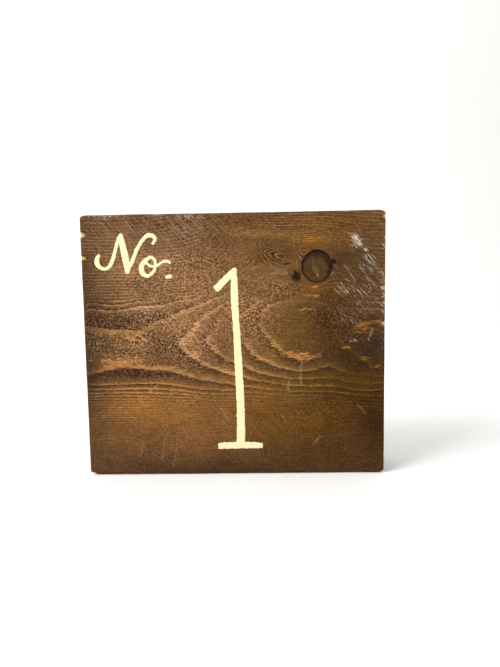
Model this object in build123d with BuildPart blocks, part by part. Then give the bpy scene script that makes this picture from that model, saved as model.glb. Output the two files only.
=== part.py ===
# Free-standing wooden table number: a block of construction softwood with "No. 1" painted on it.
#
# Frame: X runs along the grain, Y from the painted face to the back, Z up. The origin is the centre
# of the base. Every length is in millimetres.
#
# The block is an offcut of 38 x 184 softwood lumber standing on one of its long edges. A dead branch
# stub, the encased knot, runs through it in a sleeve of its own bark. The lettering is four separate
# films of brushed paint on the front face.
from build123d import *
import os

# The block. Lumber is sawn to this height and thickness, and the offcut's length is the width.
board_width = 209.5
board_height = 184.0
board_thickness = 38.0
front = -board_thickness / 2
back = board_thickness / 2

# The mill eases the four long edges. The two sawn ends are only sanded.
eased_edge_radius = 3.0
sanded_edge_radius = 0.8

# The four corners as the face shows them, each rounded by its own amount of wear.
corner_radii = {
    ("left", "bottom"): 5.2,
    ("right", "bottom"): 4.2,
    ("left", "top"): 3.0,
    ("right", "top"): 3.5,
}

# The knot: a branch stub that tapers towards the back, in a sleeve of bark.
knot_x = 57.9
knot_z = 146.2
knot_half_width = 9.7
knot_half_height = 10.4
knot_taper = 0.88  # size at the back, as a share of the size at the front
knot_back_shift = (1.5, -2.5)  # the branch leans, so the knot comes out here at the back
bark_thickness = 1.0

# The paint. Every width is the width of the brush mark at that point of the stroke.
paint_thickness = 0.3
round_end = 1.0  # a stroke that ends in a half circle
square_end = 0.2  # a stroke that ends almost flat

os.makedirs("parts", exist_ok=True)


def save(piece, name):
    """Labels a finished piece and writes its STEP file."""
    piece.part.label = name
    export_step(piece.part, f"parts/{name}.step")


def knot_section(grow, share, shift):
    """An ellipse of the branch, grown by the bark round it, in the plane of the current sketch."""
    with Locations((knot_x + shift[0], knot_z + shift[1])):
        Ellipse(knot_half_width * share + grow, knot_half_height * share + grow)


def branch(grow, mode=Mode.ADD):
    """The branch as a tapered plug through the block, in the current part."""
    with BuildSketch(Plane.XZ.offset(-front)) as near_section:
        knot_section(grow, 1.0, (0.0, 0.0))
    with BuildSketch(Plane.XZ.offset(-back)) as far_section:
        knot_section(grow, knot_taper, knot_back_shift)
    loft([near_section.sketch, far_section.sketch], mode=mode)


def brush_stroke(centres, widths, start=round_end, end=round_end):
    """Adds one stroke of the brush to the current sketch.

    centres are points along the middle of the stroke and widths its width at each of them. start
    and end say how far the two ends bulge, as a share of a half circle.
    """
    points = [Vector(*centre) for centre in centres]
    steps = [after - before for before, after in zip(points, points[1:])]
    directions = [a.normalized() + b.normalized() for a, b in zip(steps, steps[1:])]
    directions = [steps[0], *directions, steps[-1]]
    left, right = [], []
    for point, direction, width in zip(points, directions, widths):
        across = direction.normalized().rotate(Axis.Z, 90) * (width / 2)
        left.append(point + across)
        right.append(point - across)
    tip = points[-1] + steps[-1].normalized() * (widths[-1] / 2 * end)
    tail = points[0] - steps[0].normalized() * (widths[0] / 2 * start)
    with BuildLine() as outline:
        Spline(*left)
        ThreePointArc(left[-1], tip, right[-1])
        Spline(*reversed(right))
        ThreePointArc(right[0], tail, left[0])
    make_face(outline.edges())


# ---------------------------------------------------------------- the block
with BuildPart() as board:
    with BuildSketch(Plane.YZ.offset(-board_width / 2)):
        with Locations((0, board_height / 2)):
            RectangleRounded(board_thickness, board_height, eased_edge_radius)
    extrude(amount=board_width)
    with BuildSketch(Plane.XZ.offset(-back)) as outline:
        with Locations((0, board_height / 2)):
            Rectangle(board_width, board_height)
        for (side, end), radius in corner_radii.items():
            column = outline.vertices().group_by(Axis.X)[0 if side == "left" else -1]
            corner = column.sort_by(Axis.Y)[0 if end == "bottom" else -1]
            fillet(corner, radius)
    extrude(amount=board_thickness, mode=Mode.INTERSECT)
    with BuildSketch(Plane.XY):
        RectangleRounded(board_width, board_thickness, sanded_edge_radius)
    extrude(amount=board_height, mode=Mode.INTERSECT)
    branch(bark_thickness, mode=Mode.SUBTRACT)
save(board, "board")

# ---------------------------------------------------------------- the knot and its bark
with BuildPart() as knot:
    branch(0.0)
save(knot, "knot")

with BuildPart() as knot_bark:
    branch(bark_thickness)
    add(knot.part, mode=Mode.SUBTRACT)
save(knot_bark, "knot_bark")

# ---------------------------------------------------------------- the lettering
painted_face = Plane.XZ.offset(-front)

with BuildPart() as capital_n:
    with BuildSketch(painted_face):
        brush_stroke(
            [(-92.7, 155.6), (-94.2, 151.0), (-92.3, 146.8), (-88.9, 145.1),
             (-85.3, 148.0), (-81.6, 156.0), (-77.4, 167.6)],
            [2.8, 4.2, 3.4, 2.6, 2.9, 2.8, 2.6],
        )
        brush_stroke([(-76.4, 168.4), (-74.4, 157.0), (-71.9, 144.8)], [3.4, 5.0, 3.8])
        brush_stroke(
            [(-71.6, 146.4), (-66.5, 158.1), (-61.4, 166.2), (-56.8, 169.4), (-53.6, 168.0),
             (-54.5, 163.9)],
            [2.6, 2.8, 2.7, 3.2, 2.9, 2.5],
        )
    extrude(amount=paint_thickness)
save(capital_n, "capital_n_paint")

with BuildPart() as letter_o:
    with BuildSketch(painted_face):
        # The left side of the loop, the right side that closes it, and the tail that leaves it.
        brush_stroke(
            [(-55.6, 154.3), (-60.6, 151.6), (-63.0, 147.2), (-62.0, 143.2), (-58.6, 141.5)],
            [2.4, 3.0, 3.8, 3.6, 2.7],
        )
        brush_stroke(
            [(-59.4, 141.6), (-55.2, 143.8), (-53.2, 148.6), (-54.0, 152.8), (-56.9, 154.4)],
            [2.7, 2.3, 2.2, 2.5, 2.4],
        )
        brush_stroke(
            [(-59.6, 151.0), (-57.6, 148.7), (-54.3, 147.9), (-50.8, 149.4), (-47.2, 151.3),
             (-43.6, 150.7)],
            [2.2, 1.9, 1.9, 2.0, 2.1, 2.6],
        )
    extrude(amount=paint_thickness)
save(letter_o, "letter_o_paint")

with BuildPart() as full_stop:
    with BuildSketch(painted_face):
        brush_stroke([(-45.4, 140.6), (-43.2, 141.0)], [2.7, 2.9])
    extrude(amount=paint_thickness)
save(full_stop, "full_stop_paint")

with BuildPart() as numeral_one:
    with BuildSketch(painted_face):
        brush_stroke([(-12.1, 131.4), (-5.2, 138.2), (1.2, 144.6)], [4.8, 4.8, 3.6], start=square_end)
        brush_stroke(
            [(1.3, 144.6), (0.9, 134.5), (1.1, 120.0), (1.9, 104.0), (3.0, 76.0), (3.9, 48.0), (3.4, 21.0)],
            [2.8, 5.0, 5.2, 5.0, 5.6, 5.8, 6.4],
            end=square_end,
        )
        brush_stroke([(-12.2, 20.8), (2.0, 21.1), (19.0, 20.8)], [4.6, 5.0, 4.0], square_end, square_end)
    extrude(amount=paint_thickness)
save(numeral_one, "numeral_one_paint")
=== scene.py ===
# %% [markdown]
# # A painted table number
# The real object is an offcut of construction lumber. It stands on its long edge, it is stained
# brown, and somebody has brushed "No. 1" on it in cream paint. Nearly all of its looks come from
# three things: how the growth rings of the tree meet the sawn face, how the stain soaked into them,
# and how the paint lies on top. So this lesson models the rings first, as one smooth field through
# the whole block, and lets the shape of the surface and the colour both read that field.
#
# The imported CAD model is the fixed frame. Every piece made here stands for one of its nodes.

# %% Load the frame
import math

import bmesh
import bpy
import numpy as np
from mathutils import Matrix, Vector, kdtree, noise


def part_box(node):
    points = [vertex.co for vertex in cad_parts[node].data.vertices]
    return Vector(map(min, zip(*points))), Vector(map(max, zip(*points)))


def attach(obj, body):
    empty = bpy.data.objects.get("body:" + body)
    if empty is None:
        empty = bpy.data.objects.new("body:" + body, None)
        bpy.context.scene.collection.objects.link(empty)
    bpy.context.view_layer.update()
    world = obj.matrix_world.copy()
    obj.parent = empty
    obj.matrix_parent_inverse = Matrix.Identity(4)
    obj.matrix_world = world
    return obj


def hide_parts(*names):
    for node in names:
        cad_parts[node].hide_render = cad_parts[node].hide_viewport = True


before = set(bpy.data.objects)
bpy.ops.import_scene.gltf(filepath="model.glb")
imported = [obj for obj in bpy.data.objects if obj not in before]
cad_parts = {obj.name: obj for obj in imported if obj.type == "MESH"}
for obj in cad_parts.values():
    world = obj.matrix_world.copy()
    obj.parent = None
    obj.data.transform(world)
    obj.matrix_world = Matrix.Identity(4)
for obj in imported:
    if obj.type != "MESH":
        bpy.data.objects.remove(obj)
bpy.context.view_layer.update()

MM = 0.001

low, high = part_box("board")
half_width = high.x / MM
height = high.z / MM
front = low.y / MM
back = high.y / MM
print(f"block: {2 * half_width:.1f} x {back - front:.1f} x {height:.1f} mm")

# %% [markdown]
# ## The camera
# The block is seen from straight ahead and a little above, from as near as a person holds a phone.
# The lens is that of a phone, so the near edges spread a little more than they would through a
# longer lens.

# %% Set the camera
camera_place = Vector((18.2, -366.1, 131.5)) * MM
camera_azimuth = math.radians(1.15)
camera_elevation = math.radians(5.08)
camera_roll = math.radians(-0.90)
lens_mm = 27.04

camera_data = bpy.data.cameras.new("camera")
camera_data.lens = lens_mm
camera_data.sensor_width = 36.0
camera_data.clip_start = 0.01
camera = bpy.data.objects.new("camera", camera_data)
bpy.context.collection.objects.link(camera)
turn = (
    Matrix.Rotation(camera_azimuth, 4, "Z")
    @ Matrix.Rotation(math.pi / 2 - camera_elevation, 4, "X")
    @ Matrix.Rotation(camera_roll, 4, "Z")
)
camera.matrix_world = Matrix.Translation(camera_place) @ turn
bpy.context.scene.camera = camera
print("camera looks along", (turn @ Vector((0, 0, -1))).to_3d()[:])

# %% [markdown]
# ## The growth rings
# A ring number at every point of the wood is all that the grain needs. On the front face the rings
# can be followed, so a few points along each one are written down here, in millimetres from
# the middle of the base. Ring 0 closes round the middle of the flat-sawn pattern, and the numbers
# go up towards the edges. A number with a fraction lies between two lines. A thin-plate spline is the
# smoothest sheet near all of these points, and it fills in every ring between them.

# %% Points along the rings on the front face
RINGS_ON_FACE = {
    -0.75: [(45, 104), (40, 110), (103, 92)],
    0: [
        (40, 125.2), (27, 121.5), (18.5, 115), (17.2, 108), (21, 100.5), (27, 93), (34, 87), (43, 82.2),
        (52, 81.8), (60, 84.5), (66, 91), (69, 101), (69, 113), (64, 122.5), (52, 126.3),
        (104, 107.5), (92, 107.3), (83, 105), (78, 98), (77, 91.5), (82, 86), (89, 80.8), (96, 78),
        (104, 74),
    ],
    1: [
        (42, 130.5), (30, 128), (20, 123.8), (11, 119.2), (6.5, 116), (4.5, 110), (4.5, 103), (6.5, 95),
        (11, 88), (16, 83.3), (24, 79.8), (33, 76.2), (42, 73.8), (52, 73.6), (61, 76), (66, 77.3),
        (72, 74.2), (80, 71.3), (92, 70), (104, 69), (75, 120), (84, 117.8), (94, 117.4), (104, 117),
    ],
    2: [
        (38, 134), (25, 131), (12, 126), (3, 121.8), (-3, 118.5), (-7, 115.5), (-10, 112), (-13, 108),
        (-14.5, 104), (-17, 100.5), (-20, 97), (-18, 93), (-15, 90), (-11, 86.5), (-6, 82.5), (-1, 80.3),
        (5, 78), (13, 74.3), (20, 71.8), (30, 69.4), (40, 68.3), (52, 68), (75, 67.5), (104, 65),
    ],
    3: [
        (30, 137), (18, 131.5), (5, 126), (-6, 121.5), (-15, 117.3), (-21, 113.5), (-25, 109.3),
        (-28, 105.5), (-32, 101), (-36, 97.7), (-40, 95), (-38, 91.5), (-34, 88), (-28, 83.5), (-22, 79),
        (-14, 76), (-5, 72.8), (2, 70.8), (10, 69), (20, 66.8), (32, 65), (45, 63.5), (58, 63), (104, 60),
    ],
    4: [
        (18, 139), (6, 132.5), (-6, 127), (-18, 122.8), (-29, 119), (-37, 116), (-45, 112.7), (-53, 109.6),
        (-60, 105.7), (-66, 103.2), (-74, 103.3), (-85, 103.3), (-98, 104),
        (-98, 75), (-90, 77.2), (-82, 79.2), (-74, 79.3), (-64, 77.5), (-54, 76), (-45, 75.2), (-37, 73),
        (-29, 70.6), (-18, 68.3), (-6, 66), (7, 63), (20, 61.2), (35, 59.3), (55, 58.5), (104, 55.5),
    ],
    5: [
        (12, 145), (2, 138), (-10, 132.5), (-22, 128.5), (-34, 125), (-44, 122.6), (-54, 121.3),
        (-64, 120.4), (-70, 119.3), (-78, 118.7), (-90, 117.8), (-104, 118.2),
        (-104, 65), (-88, 64.9), (-76, 65.5), (-64, 65.8), (-52, 65.5), (-43, 64.5), (-33, 62.6),
        (-22, 61.2), (-8, 60), (8, 58.6), (25, 57.3), (45, 56), (75, 54), (104, 52),
    ],
    3.3: [(-60, 92), (-97, 90)],
    3.5: [(-80, 91)],
    6: [(-98, 124), (-66, 125), (-40, 127.5), (-98, 61.6), (-56, 61.9), (-25, 58.6), (40, 53.5), (104, 49)],
    9: [(-94, 55.4), (-76, 55), (-30, 53.5), (0, 51.4), (50, 48), (104, 44)],
    10: [(-98, 131), (-66, 130.8), (-30, 135), (0, 151), (16, 160), (100, 142)],
    15: [(-98, 142), (-60, 142.5), (-25, 148), (5, 161), (30, 166), (58, 163), (80, 158), (104, 155)],
    20: [(-98, 34.5), (-60, 35), (0, 32), (50, 29), (104, 26), (-98, 153.5), (-60, 154.5), (-20, 160)],
    19.5: [(5, 172), (30, 173.5), (58, 172), (80, 169.5), (104, 168)],
    25: [(-20, 173), (10, 183), (58, 184), (104, 182)],
    30: [(-98, 176), (-60, 177)],
    39: [(-104, 1), (-50, 0), (0, -2), (50, -4), (104, -6)],
}

print(sum(len(line) for line in RINGS_ON_FACE.values()), "points along", len(RINGS_ON_FACE), "rings")

# %% Run a thin-plate spline through the points


def thin_plate(places, values, slack):
    """Returns a function that gives the smoothest sheet near values at places (N x 2)."""

    def bending(distance):
        return distance**2 * np.log(distance + 1e-9)

    count = len(places)
    flat = np.column_stack([np.ones(count), places])
    kernel = bending(np.linalg.norm(places[:, None] - places[None], axis=2))
    system = np.block([[kernel + slack * np.eye(count), flat], [flat.T, np.zeros((3, 3))]])
    weights = np.linalg.solve(system, np.append(values, (0.0, 0.0, 0.0)))

    def sheet(x, z):
        total = weights[-3] + weights[-2] * x + weights[-1] * z
        for (place_x, place_z), weight in zip(places, weights):
            total += weight * bending(np.hypot(x - place_x, z - place_z))
        return total

    return sheet


ring_places = np.array([place for line in RINGS_ON_FACE.values() for place in line], float)
ring_numbers = np.array([number for number, line in RINGS_ON_FACE.items() for place in line], float)
ring_sheet = thin_plate(ring_places, ring_numbers, slack=20.0)
print("ring number at the middle of the face:", round(float(ring_sheet(0.0, height / 2)), 2))

# %% [markdown]
# ## The knot and the whorl
# Two things bend the rings. The tree laid its new wood round the stub of the branch, so beside the
# knot the rings turn aside and hug it. And just left of the knot the face is cut through a small
# swelling, where the rings close into a whorl like a fingerprint. Both are added to the smooth field.
#
# Into the depth of the block the rings are circles about the pith, the middle of the tree, which lay
# a few millimetres in front of this face. That is what makes the arcs on the two sawn ends.

# %% Turn ring numbers on the face into ring numbers in the wood
knot_centre = np.array((57.9, 146.2))
knot_half = np.array((9.7, 10.4))
bark_thickness = 1.0

whorl_centre = (34.5, 155.0)
whorl_tilt = math.radians(17)
whorl_half_left = 22.0
whorl_half_right = 8.5
whorl_half_height = 7.8
whorl_rings = 8.5

pith_distance = 7.3
ring_width = 2.2
hug_strength = 0.8
hug_reach = 0.55


def face_rings(x, z):
    """Ring number on the front face."""
    reach = knot_half + bark_thickness
    from_knot = np.hypot((x - knot_centre[0]) / reach[0], (z - knot_centre[1]) / reach[1])
    hug = 1.0 - hug_strength * np.exp(-((np.maximum(from_knot, 1.0) - 1.0) / hug_reach))
    rings = ring_sheet(
        knot_centre[0] + (x - knot_centre[0]) * hug,
        knot_centre[1] + (z - knot_centre[1]) * hug,
    )
    right, up = x - whorl_centre[0], z - whorl_centre[1]
    along = right * math.cos(whorl_tilt) - up * math.sin(whorl_tilt)
    along = along / np.where(along < 0, whorl_half_left, whorl_half_right)
    across = (right * math.sin(whorl_tilt) + up * math.cos(whorl_tilt)) / whorl_half_height
    return rings - whorl_rings * np.exp(-(along**2 + across**2))


def rings_in_wood(points):
    """Ring number at points in millimetres (N x 3)."""
    x, y, z = points.T
    radius = pith_distance + ring_width * face_rings(x, z)
    depth = y - front
    radius = np.sqrt(radius**2 + 2 * pith_distance * depth + depth**2)
    return (radius - pith_distance) / ring_width


def ring_slope(points, step=0.25):
    """How many rings go by per millimetre along X, Y and Z."""
    slopes = []
    for axis in np.eye(3) * step:
        slopes.append((rings_in_wood(points + axis) - rings_in_wood(points - axis)) / (2 * step))
    return np.column_stack(slopes)


print("rings up the middle of the face:", np.round(face_rings(np.zeros(5), np.linspace(0, 184, 5)), 1))


# %% [markdown]
# ## Helpers for colour and for nodes
# Colours are written as sRGB hex values, the way a paint chart gives them, and Blender wants linear
# light, so one function converts them. Another adds a shader node with its settings and links. Every
# pattern is made on the piece's own coordinates, turned to millimetres, so its size is a real size.

# %% Colour and node helpers


def linear(hex_colour):
    """sRGB hex to linear red, green, blue and alpha."""
    channels = [int(hex_colour[i:i + 2], 16) / 255 for i in (1, 3, 5)]
    return [c / 12.92 if c <= 0.04045 else ((c + 0.055) / 1.055) ** 2.4 for c in channels] + [1.0]


def add(tree, kind, inputs=None, operation=None, stops=None, **settings):
    """Adds a node. inputs are its sockets' values, in order or by name or number.

    A value is a number, a vector, a hex colour, a socket or another node."""
    node = tree.nodes.new("ShaderNode" + kind)
    if operation:
        node.operation = operation
    for name, value in settings.items():
        setattr(node, name, value)
    if stops:
        ramp = node.color_ramp
        for element, (place, colour) in zip(ramp.elements, (stops[0], stops[-1])):
            element.position = place
            element.color = linear(colour)
        for place, colour in stops[1:-1]:
            ramp.elements.new(place).color = linear(colour)
    if isinstance(inputs, tuple):
        inputs = dict(enumerate(inputs))
    for key, value in (inputs or {}).items():
        if isinstance(value, bpy.types.Node):
            value = next(socket for socket in value.outputs if socket.enabled)
        if isinstance(value, bpy.types.NodeSocket):
            tree.links.new(value, node.inputs[key])
        else:
            node.inputs[key].default_value = linear(value) if isinstance(value, str) else value
    return node


def start_material(name):
    """An empty material and its node tree."""
    material = bpy.data.materials.new(name)
    material.use_nodes = True
    material.node_tree.nodes.clear()
    return material, material.node_tree


def finish_material(material, **inputs):
    """Adds the Principled shader, with its inputs, and the output."""
    inputs = {name.replace("_", " "): value for name, value in inputs.items()}
    shader = add(material.node_tree, "BsdfPrincipled", inputs)
    add(material.node_tree, "OutputMaterial", {"Surface": shader})
    print(material.name, "has", len(material.node_tree.nodes), "nodes")


def in_millimetres(tree):
    """The piece's own coordinates, in millimetres."""
    own_place = add(tree, "TexCoord").outputs["Object"]
    return add(tree, "VectorMath", {0: own_place, 3: 1 / MM}, "SCALE")


print("mid grey in linear light:", round(linear("#808080")[0], 3))

# %% [markdown]
# ## The block
# Lumber is sawn square, planed, and its four long edges are eased with a round cutter. The offcut's
# two ends are only sawn and wiped with sandpaper, so their edges stay sharp. Years of handling have
# rounded the four corners of the face, each by its own amount.
#
# A bevel modifier would give every edge the same radius. Here the block starts as a cube cut into a
# fine grid, and its points are pulled onto the rounded form, so that each corner can have its own
# radius and the same points can then carry the raised grain, the dents and the chips. The front is
# cut twice as fine as the rest, because that is the side people read.

# %% Cut a cube into a grid
grid_step = 1.75
eased_radius = 3.0
sanded_radius = 0.8
corner_radius = {(-1, -1): 5.2, (1, -1): 4.2, (-1, 1): 3.0, (1, 1): 3.5}
edge_wear = 0.25


def edges_along(bm, axis):
    """The edges that run along one axis."""
    return [e for e in bm.edges if abs((e.verts[0].co - e.verts[1].co).normalized()[axis]) > 0.99]


block = bmesh.new()
bmesh.ops.create_cube(block, size=1.0)
size = Vector((2 * half_width, back - front, height))
bmesh.ops.scale(block, vec=size, verts=block.verts)
bmesh.ops.translate(block, vec=Vector((0, 0, height / 2)), verts=block.verts)
for axis in range(3):
    cuts = round(size[axis] / grid_step) - 1
    bmesh.ops.subdivide_edges(block, edges=edges_along(block, axis), cuts=cuts, use_grid_fill=True)
front_edges = [e for e in block.edges if all(abs(v.co.y - front) < 0.01 for v in e.verts)]
bmesh.ops.subdivide_edges(block, edges=front_edges, cuts=1, use_grid_fill=True)
print(len(block.verts), "points on the block")

# %% Pull the grid onto the rounded block
block_middle = np.array((0.0, 0.0, height / 2))
block_half = np.array((half_width, back, height / 2))


def points_of(bm):
    """The points of a bmesh as an array."""
    return np.array([v.co for v in bm.verts])


def move_points(bm, points):
    """Puts the points of a bmesh where the array says."""
    for vert, point in zip(bm.verts, points):
        vert.co = point


def round_edges(points, pair, radius):
    """Rounds the edges that run along the axis outside the pair. radius has a value for each point."""
    straight = block_half[pair] - radius[:, None]
    from_middle = points[:, pair] - block_middle[pair]
    across = np.abs(from_middle) - straight
    length = np.maximum(np.linalg.norm(across, axis=1), 1e-6)
    share = np.where((across > 0).all(axis=1), np.abs(across).max(axis=1) / length, 1.0)
    points[:, pair] = block_middle[pair] + np.sign(from_middle) * (across * share[:, None] + straight)


def lumps(points, size):
    """Smooth noise from -1 to 1 at every point, with lumps of that size in millimetres."""
    return np.array([noise.noise(Vector(point)) for point in points / size])


points = points_of(block)
wear = 1 + edge_wear * lumps(points, (14.0, 14.0, 14.0))
corner = np.ones(len(points))
for (side, end), radius in corner_radius.items():
    here = (np.sign(points[:, 0]) == side) & (np.sign(points[:, 2] - height / 2) == end)
    corner[here] = radius
round_edges(points, [1, 2], eased_radius * wear)
round_edges(points, [0, 2], corner)
round_edges(points, [0, 1], sanded_radius * wear)
move_points(block, points)
bmesh.ops.recalc_face_normals(block, faces=block.faces)
print("rounded block spans", np.round(points.min(0), 2), np.round(points.max(0), 2))

# %% [markdown]
# ## The hole for the knot
# The branch died before the tree grew round it, so it kept its bark and never joined the wood. It is
# a loose plug in a hole. The hole leans a little and gets narrower towards the back. A boolean
# modifier cuts it, and its result becomes the block's own mesh.

# %% Cut the hole
knot_taper = 0.88
knot_back_shift = np.array((1.5, -2.5))
plug_segments = 96


def plug(bm, grow, overshoot):
    """Adds the branch as a closed tapered plug, grown all round by grow millimetres."""
    ring = bmesh.ops.create_circle(bm, cap_ends=True, segments=plug_segments, radius=1.0)["verts"]
    bmesh.ops.rotate(bm, verts=ring, matrix=Matrix.Rotation(math.pi / 2, 3, "X"), cent=(0, 0, 0))
    cap = ring[0].link_faces[0]
    extruded = bmesh.ops.extrude_face_region(bm, geom=[cap])["geom"]
    far = [part for part in extruded if isinstance(part, bmesh.types.BMVert)]
    for verts, share, place in ((ring, -overshoot, 0.0), (far, 1 + overshoot, 1.0)):
        taper = 1 - (1 - knot_taper) * place
        half_size = knot_half * taper + grow
        centre = knot_centre + knot_back_shift * place
        depth = front + (back - front) * share
        bmesh.ops.scale(bm, vec=Vector((half_size[0], 1, half_size[1])), verts=verts)
        bmesh.ops.translate(bm, vec=Vector((centre[0], depth, centre[1])), verts=verts)
    bmesh.ops.recalc_face_normals(bm, faces=bm.faces)


def put_in_scene(bm, name):
    """An object in the scene that takes over the bmesh."""
    mesh = bpy.data.meshes.new(name)
    bm.to_mesh(mesh)
    bm.free()
    piece = bpy.data.objects.new(name, mesh)
    bpy.context.collection.objects.link(piece)
    return piece


cutter_mesh = bmesh.new()
plug(cutter_mesh, bark_thickness, overshoot=0.02)
cutter = put_in_scene(cutter_mesh, "cutter")
uncut = put_in_scene(block, "uncut_block")
hole = uncut.modifiers.new("knot hole", "BOOLEAN")
hole.object = cutter
hole.operation = "DIFFERENCE"
hole.solver = "EXACT"
cut = uncut.evaluated_get(bpy.context.evaluated_depsgraph_get())
block = bmesh.new()
block.from_mesh(cut.to_mesh())
cut.to_mesh_clear()
for leftover in (uncut, cutter):
    bpy.data.objects.remove(leftover)
open_edges = sum(not e.is_manifold for e in block.edges)
print(len(block.faces), "faces after the cut,", open_edges, "open edges")

# %% [markdown]
# ## Raised grain, dents and chips
# Each year the tree lays down soft pale earlywood and then a thin hard line of latewood. Planing
# squashes the soft part, the stain's moisture swells it unevenly, and the hard lines are left
# standing a tenth of a millimetre proud. That relief is real geometry where the lines are wide. Where
# they are closer than the grid they are left to the material's bump.

# %% Work out the raised grain
latewood_width = 3.3
earlywood_width = 6.5
ridge_height = 0.10
ridge_shows_from = 2.5
ridge_full_from = 6.0
ridge_teeth = 0.35
planer_waver = 0.06
fine_waver = 0.03
lip_height = 0.12
# A band's rate is one over the share of its year that it takes up, so these limit its width.
ridge_least_rate = 2.2
late_least_rate = 2.9
early_least_rate = 1.9


def smooth_step(value, start, end):
    """0 up to start, 1 from end on, and smooth between."""
    share = np.clip((value - start) / (end - start), 0, 1)
    return share * share * (3 - 2 * share)


def from_knot(points):
    """Distance from the middle of the knot hole at each point's depth, where 1 is its wall."""
    depth = (points[:, 1] - front) / (back - front)
    half_size = knot_half * (1 - (1 - knot_taper) * depth[:, None]) + bark_thickness
    centre = knot_centre + knot_back_shift * depth[:, None]
    return np.linalg.norm((points[:, (0, 2)] - centre) / half_size, axis=1)


def surface_pitch(slope, normals):
    """Millimetres from one ring to the next, as the surface cuts them."""
    along_surface = slope - normals * (slope * normals).sum(axis=1)[:, None]
    return 1 / np.maximum(np.linalg.norm(along_surface, axis=1), 0.01)


def relief(points, rings, pitch):
    """How far the surface stands out, in millimetres."""
    teeth = ridge_teeth * lumps(points, (4.0, 1.2, 1.2))
    inside_edge = (1 - (rings + teeth) % 1.0) * np.maximum(pitch / latewood_width, ridge_least_rate)
    ridge = np.clip(1 - inside_edge, 0, 1) * smooth_step(pitch, ridge_shows_from, ridge_full_from)
    unevenness = planer_waver * lumps(points, (38.0, 20.0, 17.0))
    unevenness += fine_waver * lumps(points, (9.0, 5.0, 4.0))
    lip = lip_height * np.exp(-((from_knot(points) - 1) / 0.25))
    return ridge_height * ridge + unevenness + lip


print(f"ridges up to {ridge_height} mm high, full where rings are {ridge_full_from} mm apart")


# %% Chips and dents, as place, size and depth in millimetres
CHIPS = [
    ((-104.4, -18.8, 170.2), (3.2, 2.6, 2.0), 0.8),
    ((-104.5, -19.0, 154.4), (3.4, 2.2, 1.2), 0.5),
    ((104.8, -19.0, 165.2), (1.2, 2.0, 1.2), 0.5),
    ((104.6, -19.0, 131.0), (1.8, 1.8, 1.3), 0.5),
    ((104.6, -19.0, 120.8), (2.0, 1.6, 0.9), 0.4),
    ((104.2, -19.0, 106.4), (2.2, 1.8, 1.4), 0.5),
    ((104.0, -18.8, 179.4), (1.2, 2.0, 1.6), 0.4),
    ((-52.0, -18.4, 184.0), (2.6, 1.8, 1.1), 0.3),
    ((28.0, -18.4, 184.0), (2.2, 1.8, 1.0), 0.3),
    ((104.5, 19.0, 60.0), (2.6, 2.6, 5.0), 0.8),
    ((-104.5, 19.0, 128.0), (2.4, 2.4, 3.6), 0.7),
    ((-61.0, 18.5, 184.0), (6.0, 2.6, 2.0), 0.7),
    ((72.0, 18.5, 0.0), (7.0, 2.2, 2.0), 0.6),
    ((104.5, 3.0, 184.0), (2.2, 4.0, 2.2), 0.6),
]
DENTS = [
    ((65.9, -19.0, 89.8), (1.3, 2.0, 1.0), 0.35),
    ((58.9, -19.0, 107.3), (0.9, 2.0, 1.3), 0.3),
    ((77.8, -19.0, 137.2), (1.4, 2.0, 1.1), 0.35),
    ((36.0, -19.0, 148.3), (3.6, 2.0, 1.4), 0.35),
    ((44.6, -19.0, 138.6), (1.6, 2.0, 3.2), 0.3),
    ((-57.0, -19.0, 62.5), (1.4, 2.0, 3.0), 0.2),
    ((-67.0, -19.0, 56.2), (1.6, 2.0, 1.6), 0.2),
    ((-30.0, 19.0, 120.0), (9.0, 2.0, 2.2), 0.4),
    ((20.0, 19.0, 60.0), (2.4, 2.0, 7.0), 0.3),
]
print(len(CHIPS), "chips and", len(DENTS), "dents")


def pits(points, places):
    """How deep every point lies in the deepest pit there, in millimetres, and how bare the wood is.

    Bare wood shows in the pit and a tenth of its size past its rim."""
    deepest = np.zeros(len(points))
    central = np.zeros(len(points))
    for place, size, depth in places:
        share = np.linalg.norm((points - place) / size, axis=1)
        deepest = np.maximum(deepest, depth * np.clip(1 - share**2, 0, 1))
        central = np.maximum(central, np.clip(1.5 * (1.1 - share), 0, 1))
    return deepest, central


# %% Move the points
block.normal_update()
points = points_of(block)
normals = np.array([v.normal for v in block.verts])
rings = rings_in_wood(points)
slope = ring_slope(points)
pitch = surface_pitch(slope, normals)
chip_depth, bare_wood = pits(points, CHIPS)
dent_depth, _ = pits(points, DENTS)
clear_of_hole = smooth_step(from_knot(points), 0.98, 1.06)
height_change = relief(points, rings, pitch) * clear_of_hole - chip_depth - dent_depth
moved = points + normals * height_change[:, None]
moved[:, 2] = np.maximum(moved[:, 2], 0.0)
print(f"relief from {height_change.min():.2f} to {height_change.max():.2f} mm")
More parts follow.
